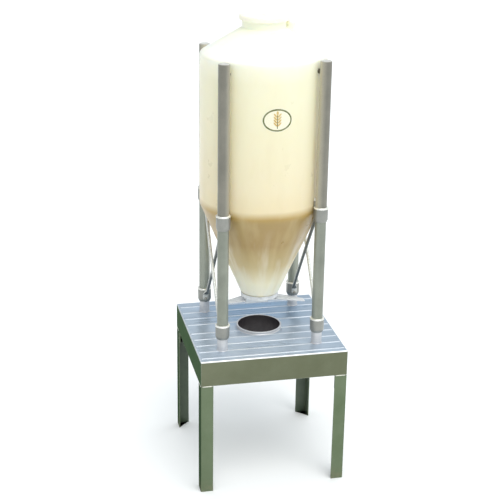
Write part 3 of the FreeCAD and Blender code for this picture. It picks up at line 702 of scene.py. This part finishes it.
# --- posts, collars and plugs ---
def upright(node):
    """A CAD node's own upright axis, its half width, and its lowest and highest z."""
    low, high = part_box(node)
    axis = Matrix.Translation(((low.x + high.x) / 2, (low.y + high.y) / 2, 0))
    return axis, (high.x - low.x) / 2, low.z, high.z


def tube_piece(name, look):
    axis, _, bottom, top = upright(name)
    bore = POST_RADIUS - TUBE_WALL
    shell = Shell()
    profile = rounded([(bore, bottom, 0.2 * MM), (POST_RADIUS, bottom, 0.25 * MM),
                       (POST_RADIUS, top, 0.35 * MM), (bore, top, 0.2 * MM)], closed=True)
    shell.lathe(profile, 64, axis)
    piece(name, shell, [look])


def stub_piece(name):
    """Turned stub with a small fillet at its foot."""
    axis, radius, bottom, top = upright(name)
    shell = Shell()
    foot = radius + 0.45 * MM
    profile = rounded([(0, bottom, 0), (foot, bottom, 0.1 * MM), (foot, bottom + 0.7 * MM, 0.25 * MM),
                       (radius, bottom + 1.0 * MM, 0.3 * MM), (radius, top, 0.2 * MM), (0, top, 0)])
    shell.lathe(profile, 64, axis)
    piece(name, shell, [BRIGHT])


def collar_piece(name, lower_radius):
    """Sleeve with a tapered lower edge and a bright rim at its top, partly a painted highlight."""
    axis, rim, bottom, top = upright(name)
    bore, half = POST_RADIUS - 0.3 * MM, (bottom + top) / 2
    profile = rounded([
        (lower_radius - 0.3 * MM, bottom, 0.0), (lower_radius + 0.7 * MM, bottom, 0.3 * MM),
        (COLLAR_BODY, bottom + 2.6 * MM, 1.4 * MM),
        (COLLAR_BODY, top - 2.4 * MM, 0.2 * MM), (COLLAR_BODY - 0.15 * MM, top - 2.1 * MM, 0.15 * MM),
        (rim, top - 1.7 * MM, 0.25 * MM), (rim, top - 0.8 * MM, 0.3 * MM), (rim - 0.8 * MM, top, 0.25 * MM),
        (bore, top, 0.0), (bore, half, 0.0), (lower_radius - 0.3 * MM, half, 0.0)], closed=True)
    shell = Shell()
    edge = top - 2.0 * MM
    # The top two millimetres take the bright rim colour, partly painted highlight.
    shell.lathe(profile, 80, axis, marks=lambda r0, z0, r1, z1: 1 if min(z0, z1) > edge else 0)
    piece(name, shell, [COLLAR_GREY, COLLAR_RIM])


def post_plugs():
    """Moulded plugs with a lip on the tube's end and a shallow dish in the top."""
    shell = Shell()
    low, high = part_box("post_plugs")
    bore = POST_RADIUS - 1.05 * MM
    rim, lip, top = bore + 0.45 * MM, high.z - 0.8 * MM, high.z - 0.1 * MM
    profile = rounded([(0, low.z, 0), (bore, low.z, 0.8 * MM), (bore, lip, 0.0), (rim, lip, 0.1 * MM),
                       (rim, top, 0.45 * MM), (bore - 1.0 * MM, top, 0.5 * MM),
                       (bore - 1.3 * MM, high.z - 0.45 * MM, 0.3 * MM),
                       (0.8 * MM, high.z - 0.35 * MM, 0.4 * MM), (0, high.z - 0.3 * MM, 0)])
    for side_x, side_y in CORNERS.values():
        shell.lathe(profile, 56, Matrix.Translation((side_x * POST_X, side_y * POST_Y, 0)))
    piece("post_plugs", shell, [PLUG])


STUB_RADIUS = upright("base_stub_front_left")[1]
for corner in CORNERS:
    stub_piece("base_stub_" + corner)
    tube_piece("lower_post_" + corner, POST_LOWER)
    tube_piece("upper_post_" + corner, POST_UPPER)
    collar_piece("lower_collar_" + corner, STUB_RADIUS)
    collar_piece("upper_collar_" + corner, POST_RADIUS)
post_plugs()


# --- cross braces ---
LOW = middle("lower_collar_front_left").z


def joint_height(side_x, side_y):
    """Middle of the upper collar at one corner."""
    names = {sides: corner for corner, sides in CORNERS.items()}
    return middle("upper_collar_" + names[side_x, side_y]).z


def bezier(a, b, c, d, t):
    s = 1 - t
    return a * s ** 3 + b * 3 * s * s * t + c * 3 * s * t * t + d * t ** 3


def brace(name, side_x, high_side, outwards):
    """Drawn rod whose ends are flattened and wrapped round the collars."""
    x = side_x * POST_X
    rod_x = x + outwards * ROD_OFFSET
    reach = POST_Y - COLLAR_BODY - SADDLE / 2
    high = joint_height(side_x, high_side)
    start = Vector((rod_x, high_side * reach, high - ROD_BELOW))
    finish = Vector((rod_x, -high_side * reach, LOW + ROD_ABOVE))
    straight = (finish - start).normalized()
    leave, arrive = start + straight * BEND_LENGTH, finish - straight * BEND_LENGTH

    def end_part(anchor, up, free, outward):
        """Points from a plate's tip to where the round rod begins."""
        tip, foot = anchor + Vector((0, 0, up * PLATE_ABOVE)), anchor - Vector((0, 0, up * PLATE_BELOW))
        found = [(tip.lerp(foot, i / 14), 1.0, (PLATE_ABOVE + PLATE_BELOW) * i / 14) for i in range(15)]
        for i in range(1, 13):
            t = i / 12
            at = bezier(foot, foot - Vector((0, 0, up * 2.6 * MM)), free - outward * 4 * MM, free, t)
            found.append((at, max(0.0, 1 - t * 1.1), 7 * MM))
        return found

    first = end_part(Vector((x, high_side * reach, high)), 1, leave, straight)
    last = end_part(Vector((x, -high_side * reach, LOW)), -1, arrive, -straight)
    run = []
    for i in range(1, 24):
        t = i / 24
        bow = Vector((outwards * ROD_BOW * 4 * t * (1 - t), 0, 0))
        run.append((leave.lerp(arrive, t) + bow, 0.0, 7 * MM))
    stations = first + run + last[::-1]
    rings = []
    radius = COLLAR_BODY + SADDLE / 2
    for i, (at, flat, from_tip) in enumerate(stations):
        before, after = stations[max(0, i - 1)][0], stations[min(len(stations) - 1, i + 1)][0]
        along = (after - before).normalized()
        across = (Vector((1, 0, 0)) - along * along.x).normalized()
        thick = along.cross(across)
        smooth = flat * flat * (3 - 2 * flat)
        half_w = ROD_RADIUS + (PLATE_HALF - ROD_RADIUS) * smooth
        if flat >= 1.0:
            rest = max(0.0, 1 - from_tip / (3.2 * MM))
            half_w = PLATE_HALF * math.sqrt(max(0.03, 1 - rest * rest))
        half_t = ROD_RADIUS + (SADDLE / 2 - ROD_RADIUS) * smooth
        power = 1.0 - 0.55 * smooth
        side_y = high_side if i < len(stations) / 2 else -high_side
        ring = []
        for a in angles(28):
            u, v = half_w * squared(math.cos(a), power), half_t * squared(math.sin(a), power)
            p = at + across * u + thick * v
            spread = min(abs(p.x - x), radius * 0.95)
            p.y += side_y * (radius - math.sqrt(radius * radius - spread * spread)) * smooth
            ring.append(p)
        rings.append(ring)
    shell = Shell()
    shell.loft(rings)
    piece(name, shell, [ROD], sharp=45)


for side, side_x in (("left", -1), ("right", 1)):
    brace(f"brace_{side}_outer", side_x, 1, side_x)
    brace(f"brace_{side}_inner", side_x, -1, -side_x)


def screw_head(shell, at, direction, radius, height):
    """Pan head with a cross recess, seated at a point and facing a direction."""
    rings, spokes, recess = 16, 64, 0.42
    points = [(0, 0, height * (1 - 0.9 * recess))]
    for i in range(1, rings + 1):
        share = i / rings
        for a in angles(spokes):
            x, y = radius * share * math.cos(a), radius * share * math.sin(a)
            dome = height * (1 - 0.35 * share ** 2.5 - 0.25 * max(0.0, share - 0.8) / 0.2)
            narrow, wide = min(abs(x), abs(y)) / radius, max(abs(x), abs(y)) / radius
            inside = min(1.0, max(0.0, (0.14 - narrow) / 0.05)) * min(1.0, max(0.0, (0.58 - wide) / 0.10))
            points.append((x, y, dome - height * recess * inside))
    faces = [[0, 1 + k, 1 + (k + 1) % spokes] for k in range(spokes)] + bands(spokes, rings, 1)
    rim = 1 + (rings - 1) * spokes
    base = len(points)
    points += [(radius * math.cos(a), radius * math.sin(a), 0.0) for a in angles(spokes)]
    faces += [[rim + k, base + k, base + (k + 1) % spokes, rim + (k + 1) % spokes] for k in range(spokes)]
    sunk = len(points)
    points.append((0, 0, -0.3 * MM))
    faces += [[base + k, sunk, base + (k + 1) % spokes] for k in range(spokes)]
    shell.add(points, faces, 0, Matrix.Translation(at) @ facing_along(direction))


def brace_screws():
    shell = Shell()
    seat = COLLAR_BODY + SADDLE
    for side_x, side_y in CORNERS.values():
        for z in (LOW - SCREW_BEYOND, joint_height(side_x, side_y) + SCREW_BEYOND):
            at = Vector((side_x * POST_X, side_y * (POST_Y - seat + 0.15 * MM), z))
            screw_head(shell, at, (0, -side_y, 0), 1.9 * MM, 1.15 * MM)
    piece("brace_screws", shell, [SCREW], sharp=30)


brace_screws()


# --- vessel ---
def uneven(r, a, z):
    """Slight unevenness of a moulded wall, under a fifth of a millimetre."""
    at = Vector((r * math.cos(a), r * math.sin(a), z)) * 28
    return 0.16 * MM * noise.noise(at) if r > 18 * MM else 0.0


def vessel_profile():
    slope = (VESSEL_RADIUS - OUTLET_RADIUS) / (CONE_TOP - VESSEL_BOTTOM)
    roof = (NECK_BASE - SHOULDER) / (VESSEL_RADIUS - NECK_RADIUS)
    outside = rounded([
        (OUTLET_RADIUS - OUTLET_LAND, VESSEL_BOTTOM, 0), (OUTLET_RADIUS, VESSEL_BOTTOM, 0.35 * MM),
        (VESSEL_RADIUS, CONE_TOP, CONE_FILLET), (VESSEL_RADIUS, SHOULDER, SHOULDER_FILLET),
        (NECK_RADIUS, NECK_BASE, NECK_FILLET), (NECK_RADIUS, VESSEL_TOP, 0.4 * MM),
        (NECK_RADIUS - WALL, VESSEL_TOP, 0)], step=4)
    cone_wall, roof_wall = WALL * math.hypot(1, slope), WALL * math.hypot(1, roof)
    inner = VESSEL_RADIUS - WALL
    land = OUTLET_RADIUS - OUTLET_LAND
    funnel = OUTLET_RADIUS - cone_wall + slope * 8 * MM
    inside = rounded([
        (NECK_RADIUS - WALL, VESSEL_TOP, 0),
        (NECK_RADIUS - WALL, NECK_BASE + roof * WALL - roof_wall, NECK_FILLET),
        (inner, SHOULDER + roof * WALL - roof_wall, SHOULDER_FILLET - WALL),
        (inner, VESSEL_BOTTOM + (inner - OUTLET_RADIUS + cone_wall) / slope, CONE_FILLET - WALL),
        (funnel, VESSEL_BOTTOM + 8 * MM, 0), (land, VESSEL_BOTTOM + 4 * MM, 0),
        (land, VESSEL_BOTTOM, 0)], step=6)
    return divided(outside, 4 * MM)[:-1] + divided(inside, 8 * MM)[:-1]


def roof_height(x, y):
    slope = (NECK_BASE - SHOULDER) / (VESSEL_RADIUS - NECK_RADIUS)
    return NECK_BASE - (math.hypot(x, y) - NECK_RADIUS) * slope


def roof_boss(shell):
    """Moulded stub that grows out of the roof with a soft root."""
    segments, rings = 64, []
    for i in range(10):
        share = 1 - i / 9
        reach = BOSS_RADIUS + 2.6 * MM * share * share
        lift = 1.9 * MM * (1 - share) ** 2 - 0.12 * MM
        flat = [(BOSS_X + reach * math.cos(a), reach * math.sin(a)) for a in angles(segments)]
        rings.append([(x, y, roof_height(x, y) + lift) for x, y in flat])
    top = rounded([(BOSS_RADIUS, BOSS_TOP - 6 * MM, 0), (BOSS_RADIUS, BOSS_TOP, 2.4 * MM),
                   (0, BOSS_TOP, 0)], step=8)
    for r, z in top[1:-1]:
        rings.append([(BOSS_X + r * math.cos(a), r * math.sin(a), z) for a in angles(segments)])
    shell.loft(rings)


def vessel():
    shell = Shell()
    shell.lathe(vessel_profile(), 256, wobble=uneven)
    roof_boss(shell)
    piece("vessel_body", shell, [VESSEL], sharp=50)


def lid():
    skirt = NECK_RADIUS + 0.12 * MM
    profile = rounded([
        (0, VESSEL_TOP + 0.02 * MM, 0), (skirt, VESSEL_TOP + 0.02 * MM, 0.3 * MM),
        (skirt, LID_BOTTOM, 0.3 * MM),
        (LID_RADIUS, LID_BOTTOM, 0.5 * MM), (LID_RADIUS, LID_TOP - 0.3 * MM, 1.7 * MM),
        (LID_RADIUS - 5 * MM, LID_TOP, 6 * MM), (0, LID_TOP, 0)], step=6)
    shell = Shell()
    shell.lathe(divided(profile, 3 * MM), 192)
    piece("lid", shell, [LID], body="lid", sharp=50)


vessel()
lid()


# --- fixings between posts and vessel ---
def outward(side_x, side_y):
    return Vector((side_x * POST_X, side_y * POST_Y, 0)).normalized()


def spacers():
    """Rubber bushes, slightly barrelled by the screw that squeezes them."""
    shell = Shell()
    profile = rounded([(0, 0, 0), (2.3 * MM, 0, 0.2 * MM), (2.65 * MM, 1.6 * MM, 1.6 * MM),
                       (2.3 * MM, SPACER_LENGTH, 0.2 * MM), (0, SPACER_LENGTH, 0)])
    for side_x, side_y in CORNERS.values():
        away = outward(side_x, side_y)
        seat = away * (VESSEL_RADIUS - 0.4 * MM) + Vector((0, 0, SPACER_HEIGHT))
        shell.lathe(profile, 40, Matrix.Translation(seat) @ facing_along(away))
    piece("vessel_spacers", shell, [RUBBER])


def pins():
    """Moulded lugs with a round white knob on a greyer stem, on the upper collars between vessel and post."""
    shell = Shell()
    near, far = VESSEL_RADIUS - 0.15 * MM, math.hypot(POST_X, POST_Y) - POST_RADIUS + 0.1 * MM
    hub, half = (near + far) / 2, (far - near) / 2
    for corner, (side_x, side_y) in CORNERS.items():
        away = outward(side_x, side_y)
        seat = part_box("upper_collar_" + corner)[1].z
        turn = Matrix.Rotation(math.atan2(away.y, away.x), 4, "Z")
        for levels, mark in ((PIN_STEM, 0), (PIN_KNOB, 1)):
            rings = []
            for z, share in levels:
                deep, wide = half * min(1.0, share * 1.1), PIN_HALF_WIDTH * share
                rings.append([(hub + deep * squared(math.cos(a), 0.7), wide * squared(math.sin(a), 0.7),
                               seat + z * MM) for a in angles(24)])
            shell.loft(rings, mark, turn)
    piece("support_pins_soft", shell, [SCREW, KNOB], replaces=["support_pins"])


spacers()
pins()
softened("stub_washers", "stub_washers_soft", SCREW, 0.12 * MM)
softened("stub_screws", "stub_screws_soft", SCREW, 0.25 * MM)
softened("vessel_screws", "vessel_screws_soft", SCREW, 0.1 * MM)

# --- outlet and slide gate ---
softened("outlet_plate", "outlet_plate_soft", PLATE, 0.15 * MM)
softened("gate_guide", "gate_guide_soft", PLATE, 0.2 * MM)
softened("slide_gate", "slide_gate_soft", GATE, 0.25 * MM, body="gate")


def guide_screws():
    shell = Shell()
    low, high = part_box("guide_screws")
    x, y = high.x - 2.1 * MM, high.y - 2.1 * MM
    for side_x, side_y in CORNERS.values():
        screw_head(shell, Vector((side_x * x, side_y * y, low.z + 1.2 * MM)), (0, 0, -1), 2.1 * MM, 1.2 * MM)
    piece("guide_screws", shell, [SCREW], sharp=30)


guide_screws()


# --- badge ---
BADGE_MIDDLE = (BADGE_LOW.z + BADGE_HIGH.z) / 2
BADGE_INKS = {name: ink_look("badge_" + name, rgb(*colour), rgb(*second)) for name, colour, second in (
    ("film", (240, 236, 214), (228, 222, 190)),
    ("green", (88, 98, 0), (70, 78, 0)),
    ("stem", (66, 82, 24), (54, 66, 20)),
    ("grain", (196, 160, 84), (222, 196, 112)))}
# All sizes of the badge are in millimetres.
BADGE_HALF_WIDTH, BADGE_HALF_HEIGHT, BADGE_RIM = 15.0, 11.5, 1.6
GRAIN_PAIRS, GRAIN_PITCH, GRAIN_LOWEST = 4, 3.0, -4.2


def disc(x, z, half_w, half_h, count=36, lean=0.0):
    steps = [2 * math.pi * k / count for k in range(count)]
    return [(x + half_w * math.cos(a) + lean * half_h * math.sin(a), z + half_h * math.sin(a)) for a in steps]


def printed(shell, outline, level, thickness, mark):
    """A thin layer with a flat outline in millimetres, wrapped on the vessel's front."""
    made = bmesh.new()
    face = made.faces.new([made.verts.new((x * MM, z * MM, 0)) for x, z in outline])
    risen = bmesh.ops.extrude_face_region(made, geom=[face])
    bmesh.ops.translate(made, vec=(0, 0, thickness * MM),
                        verts=[v for v in risen["geom"] if isinstance(v, bmesh.types.BMVert)])
    left, right = min(x for x, _ in outline), max(x for x, _ in outline)
    cut = math.floor(left) + 1.0
    while cut < right:
        bmesh.ops.bisect_plane(made, geom=made.verts[:] + made.edges[:] + made.faces[:], dist=1e-7,
                               plane_co=(cut * MM, 0, 0), plane_no=(1, 0, 0))
        cut += 1.0
    bmesh.ops.triangulate(made, faces=[f for f in made.faces if len(f.verts) > 4])
    made.verts.ensure_lookup_table()
    made.verts.index_update()
    base = VESSEL_RADIUS + level * MM
    points = []
    for v in made.verts:
        reach, a = base + v.co.z, v.co.x / VESSEL_RADIUS
        points.append((reach * math.sin(a), -reach * math.cos(a), BADGE_MIDDLE + v.co.y))
    shell.add(points, [[v.index for v in f.verts] for f in made.faces], mark)
    made.free()


def badge():
    """Generic label: a green oval rim round one upright ear of grain. No lettering."""
    shell = Shell()
    names = list(BADGE_INKS)

    def ink(name, outline, level, thickness=0.05):
        printed(shell, outline, level, thickness, names.index(name))

    ink("film", disc(0, 0, BADGE_HALF_WIDTH + 0.6, BADGE_HALF_HEIGHT + 0.6, 64), -0.12, 0.16)
    ink("green", disc(0, 0, BADGE_HALF_WIDTH, BADGE_HALF_HEIGHT, 64), 0.03)
    ink("film", disc(0, 0, BADGE_HALF_WIDTH - BADGE_RIM, BADGE_HALF_HEIGHT - BADGE_RIM, 64), 0.07)
    crown = GRAIN_LOWEST + GRAIN_PAIRS * GRAIN_PITCH
    ink("stem", rounded([(-0.4, -8.6, 0.3), (0.4, -8.6, 0.3), (0.4, crown, 0.3), (-0.4, crown, 0.3)],
                        closed=True), 0.11)
    for i in range(GRAIN_PAIRS):
        for side in (-1, 1):
            ink("grain", disc(side * 2.1, GRAIN_LOWEST + i * GRAIN_PITCH, 1.1, 2.1, 24, side * 0.75), 0.15)
    ink("grain", disc(0, crown - 0.6, 1.1, 2.2, 24), 0.15)
    piece("front_badge", shell, [BADGE_INKS[n] for n in names], sharp=40)


badge()


# --- floor, light and camera ---
def floor():
    look = Look("studio_floor")
    colour = look.mix(look.patch((3, 3), 0.3, 0.7), rgb(246, 246, 245), rgb(250, 250, 249))
    finish = look.surface(colour, look.patch((8, 3), 0.3, 0.7, 0.55, 0.65), 0.0, None, 0.0,
                          Specular_IOR_Level=0.2)
    mesh = bpy.data.meshes.new("studio_floor")
    mesh.from_pydata([(x * FLOOR_HALF, y * FLOOR_HALF, 0) for x, y in ((-1, -1), (1, -1), (1, 1), (-1, 1))],
                     [], [[0, 1, 2, 3]])
    mesh.materials.append(finish)
    placed("studio_floor", mesh)


def world():
    """Plain soft light from all round, stronger from above and from the right."""
    look = Look("studio", bpy.data.worlds)
    axes = look.node("SeparateXYZ", {0: look.node("TexCoord").outputs["Generated"]}).outputs
    strength = look.times(*(look.fit(axes[axis], *values) for axis, values in SKY_GRADIENTS))
    back = look.node("Background", {"Color": SKY_COLOUR, "Strength": strength})
    look.node("OutputWorld", {"Surface": back.outputs[0]})
    bpy.context.scene.world = look.material


def towards(azimuth, elevation):
    """The direction of a view point, with azimuth 0 at the front, and growing to the right."""
    return Vector((math.sin(azimuth) * math.cos(elevation), -math.cos(azimuth) * math.cos(elevation),
                   math.sin(elevation)))


def sun():
    data = bpy.data.lights.new("key", "SUN")
    data.energy, data.color, data.angle = SUN_STRENGTH, SUN_COLOUR, SUN_SPREAD
    obj = placed("key", data)
    back = towards(SUN_AZIMUTH, SUN_ELEVATION)
    obj.location = Vector((0, 0, 0.3)) + back * 3
    obj.rotation_mode = "QUATERNION"
    obj.rotation_quaternion = (-back).to_track_quat("-Z", "Y")


def camera():
    """Three-quarter view from the front left, a little above the stand."""
    data = bpy.data.cameras.new("camera")
    data.lens, data.sensor_width = CAMERA_LENS, CAMERA_SENSOR
    data.clip_start, data.clip_end = 0.05, 60.0
    obj = placed("camera", data)
    back = towards(CAMERA_AZIMUTH, CAMERA_ELEVATION)
    right = Vector((math.cos(CAMERA_AZIMUTH), math.sin(CAMERA_AZIMUTH), 0))
    up, c, s = back.cross(right), math.cos(CAMERA_ROLL), math.sin(CAMERA_ROLL)
    turn = Matrix((c * right + s * up, c * up - s * right, back)).transposed().to_4x4()
    obj.matrix_world = Matrix.Translation(CAMERA_TARGET + back * CAMERA_DISTANCE) @ turn
    bpy.context.scene.camera = obj


floor()
world()
sun()
camera()
bpy.context.scene.view_settings.view_transform = "Standard"
